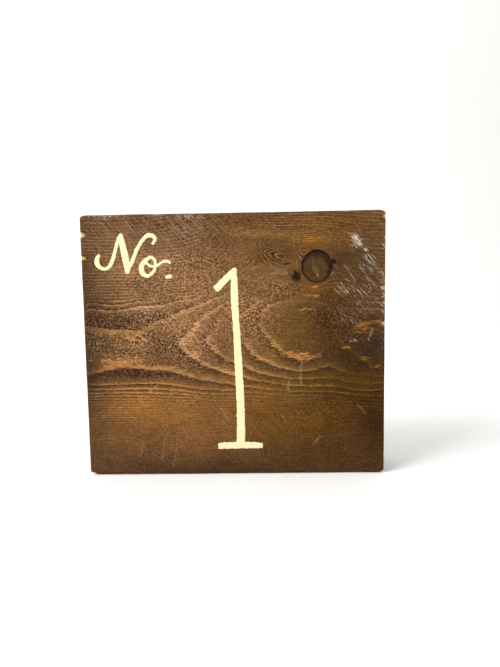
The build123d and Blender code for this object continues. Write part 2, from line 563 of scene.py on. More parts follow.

# %% [markdown]
# ## Stain, with painted light and shade
# Wiping stain soaks in by the mood of the wood: reddish near the letters, golden below the middle, and
# nearly black-brown down the right side and the bottom right, which is dark stain and painted shade
# together. The upper left is lighter, which is stain and painted light from the lamp's side. The tones
# below are soft patches laid over each other, like glazes. The back was wiped quickly with what was
# left in the rag, so it is one tone.

# %% Patches of stain, with painted light and painted shade
# Each patch is its place (x, z), its half sizes in millimetres, its colour and its strength.
STAIN_BASE = "#6a4a2a"
STAIN_LIGHT_AND_SHADE_PATCHES = [
    # These first patches lift the upper left and the middle: reddish stain, with painted light from the
    # lamp's side.
    ((-60, 148), (45, 20), "#8a6440", 0.9),
    ((-58, 175), (58, 10), "#64462b", 0.6),
    ((-20, 118), (44, 30), "#825c38", 0.8),
    ((20, 112), (18, 30), "#7a5632", 0.7),
    ((-98, 150), (10, 40), "#64462e", 0.6),
    ((-66, 92), (26, 14), "#6e4c2b", 0.6),
    ((-74, 111), (30, 5), "#54381f", 0.9),
    ((-52, 92), (14, 10), "#5e4122", 0.7),
    ((-75, 73), (26, 4), "#4c2f18", 0.9),
    ((-42, 110), (12, 6), "#93693f", 0.7),
    ((-28, 97), (14, 14), "#90683f", 0.8),
    ((0, 76), (8, 8), "#8e6236", 0.7),
    ((-55, 52), (50, 12), "#8a5c28", 0.9),
    ((-45, 38), (46, 12), "#805425", 0.8),
    ((-40, 20), (60, 8), "#6e4826", 0.7),
    ((14, 52), (20, 16), "#70481c", 0.7),
    ((34, 38), (32, 22), "#644010", 0.9),
    ((42, 100), (20, 18), "#5c4014", 0.8),
    ((28, 92), (6, 8), "#84602c", 0.6),
    # The next five patches darken the right side and the bottom right: dark stain, with painted shade away
    # from the lamp.
    ((66, 106), (14, 22), "#3c2408", 0.9),
    ((84, 84), (20, 34), "#3a2106", 0.9),
    ((100, 40), (28, 56), "#2b1800", 1.0),
    ((70, 30), (16, 30), "#47290a", 0.7),
    ((98, 92), (9, 11), "#33221a", 0.9),
    ((10, 172), (50, 12), "#5c3e1c", 0.7),
    ((66, 174), (36, 10), "#6c481e", 0.7),
    # These two darken the right side higher up: dark stain, with painted shade.
    ((92, 145), (20, 26), "#46301c", 0.9),
    ((74, 150), (10, 12), "#3f2712", 0.8),
    ((56, 162), (20, 6), "#643e14", 0.7),
    ((55, 131), (10, 3.6), "#7a501a", 0.8),
    ((26, 155), (15, 7), "#553a16", 0.7),
    ((60, 66), (46, 10), "#5c4210", 0.7),
    ((24, 168.5), (20, 2.6), "#866430", 0.85),
    ((54, 164.6), (13, 2.6), "#855c22", 0.8),
    ((43.6, 140), (3.6, 5), "#382006", 0.9),
    ((-106, 84), (16, 104), "#382616", 0.85),
    ((0, 0), (130, 15), "#38230f", 0.85),
    ((52, 16), (40, 16), "#43280a", 0.75),
    ((-70, 184), (60, 9), "#523823", 0.6),
    ((0, 186), (110, 5), "#45301c", 0.7),
    ((-48, 168), (56, 8), "#523a26", 0.7),
    ((-84, 137), (9, 11), "#5f4328", 0.55),
    ((-58, 118), (15, 7), "#9a7450", 0.6),
    ((-66, 94), (9, 6), "#9a6f46", 0.6),
    # These two darken the right side again: dark stain, with painted shade.
    ((74, 126), (17, 11), "#40260a", 0.7),
    ((76, 54), (26, 20), "#3c2200", 0.75),
    ((58, 40), (20, 12), "#5a3804", 0.5),
]
BACK_STAIN = "#5b3c20"
print(len(STAIN_LIGHT_AND_SHADE_PATCHES), "patches of stain")

# %% [markdown]
# ## Marks on the wood
# The same soft patches, without a colour, say where the finish changes: pale scuffs from handling,
# with painted sheen and the painted highlight of the top edge among them, spots where the stain hardly
# took, fibres lifted by its moisture, crossing marks of sandpaper, rings that are bolder or fainter
# than the rest, and nearly black resin and dirt. Laying them one by one puts each one where it belongs,
# which noise can't do. Scratches are lines, so they get two ends.

# %% Scuffs with painted sheen and highlight, and golden spots
# From here on a patch is its place, half sizes and a strength. Handling rubs scuffs through the stain.
# The broad faint patches also paint a satin sheen, and those along the top edge paint its highlight.
SCUFFS_AND_SHEEN = [
    # Along the top edge: real wear, with the painted highlight of the eased edge.
    ((-86, 182.6), (15, 2.2), 0.95),
    ((-52, 182.4), (8, 2.0), 0.75),
    ((-31, 181), (8, 3.2), 1.05),
    # Broad and faint in the upper left: painted sheen over fine scuffs.
    ((-28, 173), (12, 8.0), 0.55),
    ((-92, 158), (5, 5.0), 0.45),
    # Small bright scuffs rubbed through the stain, by the knot and on the right.
    ((84.5, 165.4), (2.8, 3.4), 1.6),
    ((86.8, 161.0), (4.8, 4.6), 1.35),
    ((91, 157), (1.8, 2.4), 1.5),
    ((91.6, 152.6), (1.1, 2.6), 1.5),
    ((90, 143.6), (0.9, 1.4), 1.5),
    ((77.8, 137.2), (1.1, 0.8), 1.7),
    ((102.3, 131), (1.8, 1.3), 1.7),
    # Broad and faint right of the knot: painted sheen over fine scuffs.
    ((92, 150), (9, 12), 0.68),
    ((78, 132), (8, 6), 0.66),
    ((90, 128), (14, 14), 0.52),
    # Wear along the right edge, and a narrow scuff lower down.
    ((103.4, 122), (2.6, 28), 0.95),
    ((104, 160), (2.0, 16), 0.8),
    ((84, 94.8), (9, 1.2), 1.0),
    # Broad and faint: painted sheen over fine scuffs.
    ((84, 113), (20, 8), 0.46),
]
# Golden spots are where the stain hardly took: over the hard core of a ring, or on resin.
GOLDEN = [
    ((-80, 82.0), (20, 4.8), 1.05),
    ((-52, 77.4), (14, 1.8), 0.9),
    ((-71, 100), (9, 3.4), 1.0),
    ((-91, 102), (9, 1.1), 0.8),
    ((46, 84.6), (14, 3.4), 1.0),
    ((49, 116.7), (8, 0.9), 1.0),
    ((55, 126.6), (7, 0.9), 0.9),
    ((57, 132.2), (7, 1.2), 0.42),
    ((89, 104), (5.5, 4.2), 1.0),
    ((78, 90), (3.4, 1.6), 1.0),
    ((90, 82), (6.5, 1.7), 0.9),
    ((97, 77), (5, 1.3), 0.8),
    ((82, 168.0), (4.5, 0.8), 1.0),
]
print(len(SCUFFS_AND_SHEEN), "scuffs and", len(GOLDEN), "golden spots")

# %% Lifted fibres, sandpaper and scratches
# Fuzz is the speckle of fibres that the stain's moisture lifted. The face was sanded both ways.
FUZZ = [
    ((-60, 98), (60, 30), 1.0),
    ((-30, 140), (70, 34), 0.75),
    ((10, 112), (25, 26), 1.0),
    ((34, 131), (26, 7), 0.85),
    ((-97, 98), (9, 16), 1.0),
    ((72, 112), (26, 22), 0.8),
    ((20, 170), (70, 14), 0.3),
    ((-50, 22), (60, 22), 0.36),
    ((64, 44), (40, 22), 0.42),
]
SANDED = [
    ((-50, 174), (48, 12), 0.9),
    ((-20, 118), (34, 22), 0.32),
    ((20, 40), (90, 30), 0.18),
    ((84, 140), (16, 14), 0.45),
]
# Each scratch is where it starts and ends and how plain it is.
SCRATCHES = [
    ((47.5, 82), (46.5, 75), 0.8),
    ((46.5, 75), (46.5, 65), 0.7),
    ((38, 68), (37.5, 61), 0.6),
    ((-54.5, 65), (-60, 60.5), 0.9),
    ((-66, 57.5), (-67.5, 54), 0.7),
    ((60, 27), (55, 22), 0.5),
    ((-66, 25), (-68, 14), 0.4),
    ((-50, 26), (-53, 10), 0.35),
    ((-42, 20), (-45, 6), 0.3),
    ((-10, 48), (-5, 40), 0.35),
    ((86, 49), (92, 43), 0.4),
    ((32, 44), (36, 37), 0.4),
    ((12, 24), (16, 18), 0.35),
    ((74, 135), (79, 128), 0.7),
    ((95, 150), (101, 141), 0.6),
    ((71, 134), (75, 129.5), 0.8),
    ((69.5, 131), (73.5, 126.5), 0.6),
    ((74, 131.5), (78, 127), 0.7),
    ((80, 134), (84, 130), 0.5),
    ((92, 139), (97, 133), 0.5),
    ((77, 147), (84, 136), 0.5),
    ((96.5, 103), (93.2, 95), 0.8),
]
print(len(FUZZ), "fuzzy,", len(SANDED), "sanded patches and", len(SCRATCHES), "scratches")

# %% Bold and faint rings, resin and dirt
# A ring's boldness is 1 plus these, so a negative strength makes it faint.
BOLD_RINGS = [
    ((-72, 119.0), (36, 5), 1.1),
    ((-40, 76), (50, 6), 0.9),
    ((-55, 61), (48, 6), 0.8),
    ((-15, 122), (22, 7), -0.5),
    ((14, 128), (16, 7), -0.6),
    ((-28, 96), (14, 18), 0.6),
    ((28, 82), (24, 10), 0.6),
    ((50, 126), (24, 5), -0.7),
    ((67, 104), (13, 17), -0.9),
    ((90, 90), (17, 17), -0.7),
    ((86, 69), (26, 9), -0.6),
    ((82, 122), (16, 12), -0.5),
    ((0, 28), (130, 21), -0.9),
    ((0, 4), (130, 11), -0.9),
    ((50, 48), (40, 12), -0.6),
    ((-60, 152), (46, 22), -0.2),
    ((30, 157), (16, 8), 2.4),
    ((24, 139), (28, 9), -0.9),
    ((32, 146.5), (12, 3), -0.6),
    ((90, 166), (20, 22), -0.75),
    ((90, 134), (18, 12), -0.5),
    ((25, 174), (50, 10), 0.9),
]
# Resin and dirt lie nearly black in these spots.
DARK_SPOTS = [
    ((69.3, 149.6), (1.7, 2.0), 1.1),
    ((47.6, 150.5), (0.8, 5.0), 0.75),
    ((37, 148.2), (4.4, 1.5), 0.62),
    ((43.9, 139.4), (3.6, 4.6), 0.74),
]
print(len(BOLD_RINGS), "bold or faint stretches of ring and", len(DARK_SPOTS), "dark spots")

# %% Measure how far every point is from a patch or a scratch
# The stain with its painted light and shade, the scuffs with their painted sheen and highlight, the
# golden spots, dirt and scratches of the front are full from front_share of the way out to the face, and
# gone at back_share. The other marks go right through to the back.
front_share = 0.85
back_share = 0.2
edge_wander = 3.0


def over_face(points, place, half_size):
    """1 at the middle of a soft patch on the front face, and 0 well outside it."""
    share = np.linalg.norm((points[:, (0, 2)] - place) / half_size, axis=1)
    return np.exp(-(share**2))


def strongest(points, patches):
    """The strength of the strongest patch at every point."""
    result = np.zeros(len(points))
    for place, half_size, strength in patches:
        result = np.maximum(result, strength * over_face(points, place, half_size))
    return result


def to_segment(points, start, end):
    """Distance over the face from every point to the line from start to end."""
    start, end = np.array(start), np.array(end)
    along = np.clip((points - start) @ (end - start) / ((end - start) @ (end - start)), 0, 1)
    return np.linalg.norm(points - start - along[:, None] * (end - start), axis=1)


near_front = smooth_step(-points[:, 1], -front * back_share, -front * front_share)
wander = np.column_stack([lumps(points + shift, (16, 9, 9)) for shift in (0, 50)]) * edge_wander
strayed = points.copy()
strayed[:, (0, 2)] += wander
print(f"edges of patches wander by up to {np.abs(wander).max():.1f} mm")

# %% Lay the patches over each other
scratch_width = 0.45
least_fuzz = 0.26
small_patch = 4.0
calm_strength = 0.85
calm_reach = 0.5
faintest = 0.05
boldest = 2.6

# The stain tone of every point, with the painted light and painted shade of the patches in it.
stain_light_and_shade = np.tile(linear(STAIN_BASE)[:3], (len(points), 1))
for place, half_size, colour, strength in STAIN_LIGHT_AND_SHADE_PATCHES:
    where = strayed if min(half_size) > small_patch else points
    share = strength * over_face(where, place, half_size)[:, None]
    stain_light_and_shade += share * (np.array(linear(colour)[:3]) - stain_light_and_shade)
stain_light_and_shade += (1 - near_front[:, None]) * (np.array(linear(BACK_STAIN)[:3]) - stain_light_and_shade)
bold = np.ones(len(points))
for place, half_size, strength in BOLD_RINGS:
    bold += strength * over_face(strayed, place, half_size)
scratched = np.zeros(len(points))
for start, end, strength in SCRATCHES:
    off_line = to_segment(points[:, (0, 2)], start, end)
    scratched = np.maximum(scratched, strength * np.exp(-((off_line / scratch_width) ** 2)))

# In the whorl and beside the knot the fibres lie calm, so creep and fuzz die down there.
in_whorl = over_face(points, whorl_centre, (whorl_half_left, whorl_half_height * 1.3))
by_knot = np.exp(-((from_knot(points) - 1) / calm_reach)) * near_front
calm = 1 - calm_strength * np.maximum(in_whorl, by_knot)
marks = {
    "rings": rings,
    "pitch": pitch,
    "scuffs_and_sheen": strongest(points, SCUFFS_AND_SHEEN) * near_front,
    "fuzz": np.maximum(least_fuzz, strongest(strayed, FUZZ)) * calm,
    "bold": np.clip(bold, faintest, boldest),
    "golden": strongest(points, GOLDEN) * near_front,
    "dirt": strongest(points, DARK_SPOTS) * near_front,
    "sanded": strongest(points, SANDED),
    "scratched": scratched * near_front,
    "bare": bare_wood,
}
print("strongest marks:", {name: round(float(values.max()), 2) for name, values in marks.items()})

# %% [markdown]
# ## The stained softwood material
# Pine or spruce, planed, wiped with an oil stain and rubbed down to a satin. The eye reads four
# scales: the ring lines, whose outer edge is sharp and toothed along the fibres, because the stain
# creeps along the grain; the dark speckled earlywood beside them; fine fibre streaks; and slanting
# scratches from sandpaper. The ring number comes from the mesh, so all six sides agree, and every
# other pattern is noise.
#
# A wood fibre is 0.03 mm across, a pore or a sanding mark 0.1 mm, and none of them would show. Here
# they are drawn as coarse as they need to be, from half a millimetre to a millimetre and a half.

# %% Find the rings


def uneven(tree, place, lump, low=0.3, high=0.7, to_low=0.0, to_high=1.0, turn=0, detail=2.0):
    """Noise with lumps of that size in millimetres, turned in the plane of the face by turn degrees.

    Its contrast is spread so that low to high becomes to_low to to_high."""
    inputs = {"Vector": place, "Rotation": (0, math.radians(turn), 0), "Scale": lump}
    mapped = add(tree, "Mapping", inputs, vector_type="TEXTURE")
    grain = add(tree, "TexNoise", {"Vector": mapped, "Scale": 1.0, "Detail": detail})
    return add(tree, "MapRange", {"Value": grain, 1: low, 2: high, 3: to_low, 4: to_high})


stained_wood, tree = start_material("softwood, planed, oil-stained and rubbed to satin")
place = in_millimetres(tree)
mark = {name: add(tree, "Attribute", attribute_name=name).outputs["Fac"] for name in marks}
ring_turn = add(tree, "Attribute", attribute_name="slope").outputs["Vector"]
# The stain tone, which carries painted light in the upper left and painted shade down the right side.
stain_light_and_shade_tone = add(tree, "Attribute", attribute_name="stain_light_and_shade").outputs["Color"]

# Stain creeps along the fibres, and hardly at all across them.
reach_along = 3.2
reach_across = 0.3
creep_along = uneven(tree, place, (10, 1, 1), to_low=-reach_along, to_high=reach_along)
creep_across = uneven(tree, place, (2, 0.625, 0.625), to_low=-reach_across, to_high=reach_across)
creep = add(tree, "CombineXYZ", {0: creep_along, 2: creep_across})
shift = add(tree, "VectorMath", (ring_turn, creep), "DOT_PRODUCT").outputs["Value"]
crept_number = add(tree, "Math", (mark["rings"], shift), "ADD")
share_of_year = add(tree, "Math", {0: crept_number}, "FRACT")
left_of_year = add(tree, "Math", (1.0, share_of_year), "SUBTRACT")

# The latewood ends at the outer edge of its year, and its lines are thinner from ring 4 outwards. The
# dark earlywood starts at the inner edge.
leaner = add(tree, "MapRange", {"Value": crept_number, 1: 3.9, 2: 4.1, 3: 1.0, 4: 1.8})
late_in_gap = add(tree, "Math", (mark["pitch"], latewood_width), "DIVIDE")
late_in_gap = add(tree, "Math", (late_in_gap, leaner), "MULTIPLY")
early_in_gap = add(tree, "Math", (mark["pitch"], earlywood_width), "DIVIDE")
bands = []
for in_gap, least_rate, from_edge in (
    (late_in_gap, late_least_rate, left_of_year),
    (early_in_gap, early_least_rate, share_of_year),
):
    rate = add(tree, "Math", (in_gap, least_rate), "MAXIMUM")
    into_band = add(tree, "Math", (from_edge, rate), "MULTIPLY")
    bands.append(add(tree, "Math", (1.0, into_band), "SUBTRACT", use_clamp=True))
latewood, earlywood = bands
print(len(tree.nodes), "nodes find the rings")

# %% Colour the rings
# Years differ, lines fade where they crowd together, and stain skips along a line in dashes.
vigour = uneven(tree, place, (24, 8, 8), low=0.35, high=0.6, to_low=0.35, to_high=1.0)
year = add(tree, "Math", {0: crept_number}, "FLOOR")
good_year = add(tree, "TexWhiteNoise", {"W": year}, noise_dimensions="1D").outputs["Value"]
good_year = add(tree, "MapRange", {"Value": good_year, 3: 0.55, 4: 1.0})
parted = add(tree, "MapRange", {"Value": mark["pitch"], 1: 0.8, 2: 3.2, 3: 0.35, 4: 1.0})
for share in (good_year, parted, mark["bold"], latewood):
    vigour = add(tree, "Math", (vigour, share), "MULTIPLY")
broken = uneven(tree, place, (2.6, 1.1, 1.1), low=0.34, high=0.60, to_low=0.7, to_high=2.6, detail=3.0)
line_strength = add(tree, "Math", (vigour, broken), "MULTIPLY", use_clamp=True)
dark_strength = add(tree, "Math", (earlywood, parted), "MULTIPLY")
dark_strength = add(tree, "Math", (dark_strength, mark["bold"]), "MULTIPLY", use_clamp=True)

# Every tone of the wood is the stain's own tone, painted light and shade included, darkened, or lifted and
# warmed.
dark_wood = add(tree, "VectorMath", (stain_light_and_shade_tone, (0.43, 0.39, 0.36)), "MULTIPLY")
pale_wood = add(tree, "VectorMath", (stain_light_and_shade_tone, (2.02, 2.04, 2.73)), "MULTIPLY")
pale_wood = add(tree, "VectorMath", (pale_wood, linear("#513b14")[:3]), "ADD")
lifted_fibre = add(tree, "VectorMath", (stain_light_and_shade_tone, (2.15, 2.35, 3.3)), "MULTIPLY")
lifted_fibre = add(tree, "VectorMath", (lifted_fibre, linear("#42341d")[:3]), "ADD")
colour = add(tree, "Mix", {0: dark_strength, 6: stain_light_and_shade_tone, 7: dark_wood}, data_type="RGBA")
colour = add(tree, "Mix", {0: line_strength, 6: colour, 7: pale_wood}, data_type="RGBA")
print(len(tree.nodes), "nodes once the rings are coloured")

# %% Add golden spots, streaks and speckle
# Golden spots have ragged edges along the fibres, and a fine crackle of stain.
ragged = uneven(tree, place, (6, 1.3, 1.3), to_low=-0.45, to_high=0.45, detail=4.0)
golden_area = add(tree, "Math", (mark["golden"], ragged), "ADD")
golden_area = add(tree, "MapRange", {"Value": golden_area, 1: 0.42, 2: 0.60, 4: 1.0})
crackle = uneven(tree, place, (2.6, 1.3, 1.3), low=0.42, high=0.56, detail=4.0)
golden_tone = add(tree, "Mix", {0: crackle, 6: colour, 7: pale_wood}, data_type="RGBA")
golden_tone = add(tree, "VectorMath", (golden_tone, (1.38, 1.24, 1.0)), "MULTIPLY")
colour = add(tree, "Mix", {0: golden_area, 6: colour, 7: golden_tone}, data_type="RGBA")

# Fibre streaks and slow clouds of shade, then the pepper and salt of pores filled with stain and of
# raised fibres. Latewood is dense, so it has few pores.
streak = uneven(tree, place, (14, 0.9, 0.9), to_low=0.75, to_high=1.22, detail=4.0)
cloud = uneven(tree, place, (22, 12, 12), to_low=0.78, to_high=1.16, detail=4.0)
for shade in (streak, cloud):
    colour = add(tree, "VectorMath", {0: colour, 3: shade}, "SCALE")
pore = uneven(tree, place, (1.6, 0.85, 0.85), low=0.46, high=0.59, detail=3.0)
pore = add(tree, "Math", (pore, mark["fuzz"]), "MULTIPLY")
closed_grain = add(tree, "MapRange", {"Value": line_strength, 3: 0.95, 4: 0.35})
pore = add(tree, "Math", (pore, closed_grain), "MULTIPLY")
speck = uneven(tree, place, (1.4, 0.8, 0.8), low=0.53, high=0.60, turn=-30, detail=3.0)
speck = add(tree, "Math", (speck, mark["fuzz"]), "MULTIPLY")
print(len(tree.nodes), "nodes once the fibres are drawn")

# %% Add sandpaper, scratches, dirt, scuffs, bare chips and the sawn ends
sanded_one_way = uneven(tree, place, (0.8, 0.8, 14), low=0.48, high=0.64, turn=-42)
sanded_other_way = uneven(tree, place, (0.6, 0.6, 11), low=0.60, high=0.76, turn=48)
sanded = add(tree, "Math", (sanded_one_way, sanded_other_way), "MAXIMUM")
sanded = add(tree, "Math", (sanded, mark["sanded"]), "MULTIPLY")
skipped = uneven(tree, place, (1.6, 1.6, 1.6), low=0.36, high=0.60)
scratch = add(tree, "Math", (mark["scratched"], skipped), "MULTIPLY")

patchy = uneven(tree, place, (2.2, 1.2, 1.2), to_low=-0.2, to_high=0.2, detail=3.0)
dirty = add(tree, "Math", (mark["dirt"], patchy), "ADD")
dirty = add(tree, "MapRange", {"Value": dirty, 1: 0.26, 2: 0.62, 4: 0.88})

# A scuff takes off flakes, and drags lines across the grain.
scuff_flakes = uneven(tree, place, (2.4, 0.9, 0.7), low=0.58, high=0.70, detail=5.0)
scuff_lines = uneven(tree, place, (0.55, 0.55, 5.5), low=0.55, high=0.66, turn=-42, detail=3.0)
scuff_marks = add(tree, "Math", (scuff_flakes, scuff_lines), "MAXIMUM")
# The patches add painted sheen and a painted highlight on the top edge to the real scuffs.
scuff_and_sheen = add(tree, "Math", (scuff_marks, mark["scuffs_and_sheen"]), "ADD")
scuff_and_sheen = add(tree, "MapRange", {"Value": scuff_and_sheen, 1: 1.12, 2: 1.65, 4: 0.9})

# End grain drinks more stain, so the sawn ends are darker.
normal = add(tree, "SeparateXYZ", {0: add(tree, "NewGeometry").outputs["Normal"]})
facing_along = add(tree, "Math", {0: normal.outputs["X"]}, "ABSOLUTE")
sawn_end = add(tree, "MapRange", {"Value": facing_along, 1: 0.6, 2: 0.9, 4: 0.62})

# Each layer lies over the ones before it.
for share, tone in (
    (pore, "#2c1c0c"),
    (speck, lifted_fibre),
    (sanded, lifted_fibre),
    (scratch, "#b39c7c"),
    (dirty, "#170d08"),
    # pale grey of real scuffs, of the painted sheen and of the top edge's painted highlight
    (scuff_and_sheen, "#cdbfb2"),
    (mark["bare"], "#dcae68"),
    (sawn_end, "#2b190c"),
):
    colour = add(tree, "Mix", {0: share, 6: colour, 7: tone}, data_type="RGBA")
print(len(tree.nodes), "nodes give the colour")

# %% Give it its sheen and its fine relief
# Satin: dull enough to spread a lamp wide, a little brighter in streaks, and matt where scuffed and
# where the sheen is painted.
gloss = uneven(tree, place, (20, 2, 2), to_low=0.42, to_high=0.56)
dulled = add(tree, "Mix", {0: scuff_and_sheen, 2: gloss, 3: 0.75}, data_type="FLOAT")
ridge = add(tree, "Math", (line_strength, 0.9), "MULTIPLY")
fibre = add(tree, "Math", (streak, 0.9), "MULTIPLY")
height_map = add(tree, "Math", (ridge, fibre), "ADD")
height_map = add(tree, "Math", (height_map, speck), "ADD")
height_map = add(tree, "Math", (height_map, sanded), "SUBTRACT")
bump = add(tree, "Bump", {"Strength": 0.55, "Distance": 0.12 * MM, "Height": height_map})
finish_material(
    stained_wood,
    Base_Color=colour,
    Roughness=dulled,
    IOR=1.48,
    Specular_IOR_Level=0.07,
    Normal=bump,
)

# %% [markdown]
# ## From points to a finished piece
# Every piece is finished the same way: its points go from millimetres to metres, its faces are
# smoothed, it gets its material, the frame is told which body it rides on, and the CAD node that it
# stands for is hidden.

# %% Finish the block


def finish_piece(bm, name, material, node):
    """Turns a bmesh in millimetres into a piece of the object."""
    bmesh.ops.scale(bm, vec=Vector((MM, MM, MM)), verts=bm.verts)
    for face in bm.faces:
        face.smooth = True
    piece = put_in_scene(bm, name)
    piece.data.materials.append(material)
    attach(piece, "root")
    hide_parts(node)
    print(name, "has", len(piece.data.polygons), "faces")
    return piece


def store(piece, name, values, kind="FLOAT"):
    """Writes one value, vector or colour for every point, for the material to read."""
    field = {"FLOAT": "value", "FLOAT_VECTOR": "vector", "FLOAT_COLOR": "color"}[kind]
    attribute = piece.data.attributes.new(name, kind, "POINT")
    attribute.data.foreach_set(field, np.asarray(values, np.float32).ravel())


move_points(block, moved)
board = finish_piece(block, "softwood_block", stained_wood, "board")
for name, values in marks.items():
    store(board, name, values)
store(board, "slope", slope * calm[:, None], "FLOAT_VECTOR")
store(board, "stain_light_and_shade", np.column_stack([stain_light_and_shade, np.ones(len(stain_light_and_shade))]), "FLOAT_COLOR")

# %% [markdown]
# ## The knot
# The stub is end grain of the branch: fine rings of its own round a pith that sits a little low, darker
# and harder than the wood about it, so the planer left it a hair proud. It has dried into a ragged
# crumbly check, a crack that runs out from the pith, and a few small ones. A disc of inset rings gives
# points at every radius, and they are pushed in along the checks, so the cracks are real.

# %% Shape the knot
knot_ring_step = 0.32
knot_pith = np.array((56.9, 144.2))
dome_height = 0.18
rim_drop = 0.25
relief_ring_width = 1.1
full_crack = 0.4
bark_thick_side = np.array((-0.7, 0.7))
# Each check is where it starts and ends on the face, its half width and its depth. The first two make
# up the long one, which passes the pith.
CHECKS = [
    ((55.4, 148.6), (56.6, 145.0), 1.0, 0.25),
    ((56.6, 145.0), (58.4, 139.6), 1.4, 0.30),
    ((55.0, 145.4), (57.0, 142.4), 0.9, 0.2),
    ((62.3, 148.4), (63.1, 147.6), 0.5, 0.3),
]


def end_face(bm, depth):
    """The flat cap of a plug at that depth."""
    caps = [face for face in bm.faces if abs(face.calc_center_median().y - depth) < 0.01]
    return max(caps, key=lambda face: face.calc_area())


def inset_rings(bm, cap, step, rings):
    """Cuts a cap into that many rings, step apart, inside each other."""
    for _ in range(rings):
        bmesh.ops.inset_individual(bm, faces=[cap], thickness=step, use_even_offset=True)


knot_mesh = bmesh.new()
plug(knot_mesh, 0.0, overshoot=0.0)
for depth, rings_cut in ((front, 28), (back, 24)):
    cap = end_face(knot_mesh, depth)
    inset_rings(knot_mesh, cap, knot_ring_step, rings_cut)
    bmesh.ops.poke(knot_mesh, faces=[cap])
bmesh.ops.recalc_face_normals(knot_mesh, faces=knot_mesh.faces)
points = points_of(knot_mesh)
on_face = points[:, (0, 2)]
knot_radius = np.linalg.norm((on_face - knot_centre) / knot_half, axis=1)
dome = dome_height * (1 - knot_radius**2) - rim_drop * smooth_step(knot_radius, 0.9, 1.0)
pith_radius = np.linalg.norm(on_face - knot_pith, axis=1)
knot_rings = 0.03 * np.sin(pith_radius * 2 * math.pi / relief_ring_width)
cracked = np.zeros(len(points))
for start, end, width, depth in CHECKS:
    ragged = to_segment(on_face, start, end) + 0.5 * lumps(points, (1.1, 1.1, 1.1))
    cracked = np.maximum(cracked, depth * np.clip(1 - (ragged / width) ** 2, 0, 1))
outward = np.where(points[:, 1] < 0, -1.0, 1.0)
points[:, 1] += outward * (dome + knot_rings + 0.05 * lumps(points, (2.4, 2.4, 2.4)) - cracked)
move_points(knot_mesh, points)
thicker = 0.003 * ((on_face - knot_centre) @ bark_thick_side)
bark_stain = knot_radius + thicker + 0.04 * lumps(points, (2.2, 2.2, 2.2))
print(f"checks up to {cracked.max():.2f} mm deep")

# %% [markdown]
# The knot's material is the branch's end grain, planed with the rest and stained. The eye sees a dark
# brown disc, closed and nearly smooth, with close fine rings, a darker rim where the bark's tannin has
# bled in, and pale crumbs in the cracks. The rings come from the distance to the branch's own pith.

# %% Mix the knot wood
knot_wood, tree = start_material("branch end grain, planed and oil-stained")
place = in_millimetres(tree)
pith = Vector((knot_pith[0], 0, knot_pith[1]))
from_pith = add(tree, "VectorMath", (place, pith), "SUBTRACT")
on_disc = add(tree, "VectorMath", (from_pith, (1.0, 0.02, 0.92)), "MULTIPLY")
radius = add(tree, "VectorMath", {0: on_disc}, "LENGTH").outputs["Value"]
wobble = uneven(tree, place, (3.0, 6.0, 3.0), to_low=-0.7, to_high=0.7)
radius = add(tree, "Math", (radius, wobble), "ADD")
knot_year_width = 1.15
year_share = add(tree, "Math", (radius, knot_year_width), "DIVIDE")
year_share = add(tree, "Math", {0: year_share}, "FRACT")
across_knot = add(tree, "MapRange", {"Value": radius, 1: 0.5, 2: 9.5})
knot_stops = [(0.0, "#5c4220"), (0.3, "#482f14"), (0.6, "#4e3517"), (0.85, "#422a12"), (1.0, "#2a180c")]
colour = add(tree, "ValToRGB", {0: across_knot}, stops=knot_stops)
ring_shade = add(tree, "MapRange", {"Value": year_share, 3: 0.86, 4: 1.16})
side_shade = uneven(tree, place, (7.0, 30.0, 9.0), to_low=0.72, to_high=1.12)
for shade in (ring_shade, side_shade):
    colour = add(tree, "VectorMath", {0: colour, 3: shade}, "SCALE")
flecks = uneven(tree, place, (0.8, 3.0, 0.8), low=0.52, high=0.72, to_high=0.4)
rim = add(tree, "Attribute", attribute_name="bark_stain").outputs["Fac"]
crack = add(tree, "Attribute", attribute_name="crack").outputs["Fac"]
crumbs = uneven(tree, place, (1.2, 1.2, 1.2), low=0.46, high=0.60, detail=4.0)
crumbs = add(tree, "Math", (crumbs, crack), "MULTIPLY")
for share, tone in ((flecks, "#745428"), (rim, "#1c0f08"), (crumbs, "#8e7446")):
    colour = add(tree, "Mix", {0: share, 6: colour, 7: tone}, data_type="RGBA")
relief_of_rings = add(tree, "Math", (year_share, flecks), "ADD")
bump = add(tree, "Bump", {"Strength": 0.5, "Distance": 0.08 * MM, "Height": relief_of_rings})
finish_material(
    knot_wood,
    Base_Color=colour,
    Roughness=0.46,
    IOR=1.48,
    Specular_IOR_Level=0.10,
    Normal=bump,
)

# %% Finish the knot
knot = finish_piece(knot_mesh, "knot_plug", knot_wood, "knot")
store(knot, "crack", np.clip(cracked / full_crack, 0, 1))
store(knot, "bark_stain", smooth_step(bark_stain, 0.94, 1.0))

# %% [markdown]
# ## The bark round the knot
# A dead branch keeps its bark, and the tree shuts it in: a thin crumbling black-purple sleeve, which is
# what draws the dark ring. It has shrunk back below the face. The sleeve is made from the same tapered
# plug as the hole, with the knot's own size left open inside it.

# %% Shape the bark sleeve
bark_shrink = 0.03
bark_rings = 4
bark_sunk = 0.22
crumb_depth = 0.22
fine_crumb_depth = 0.10
most_filled = 0.85

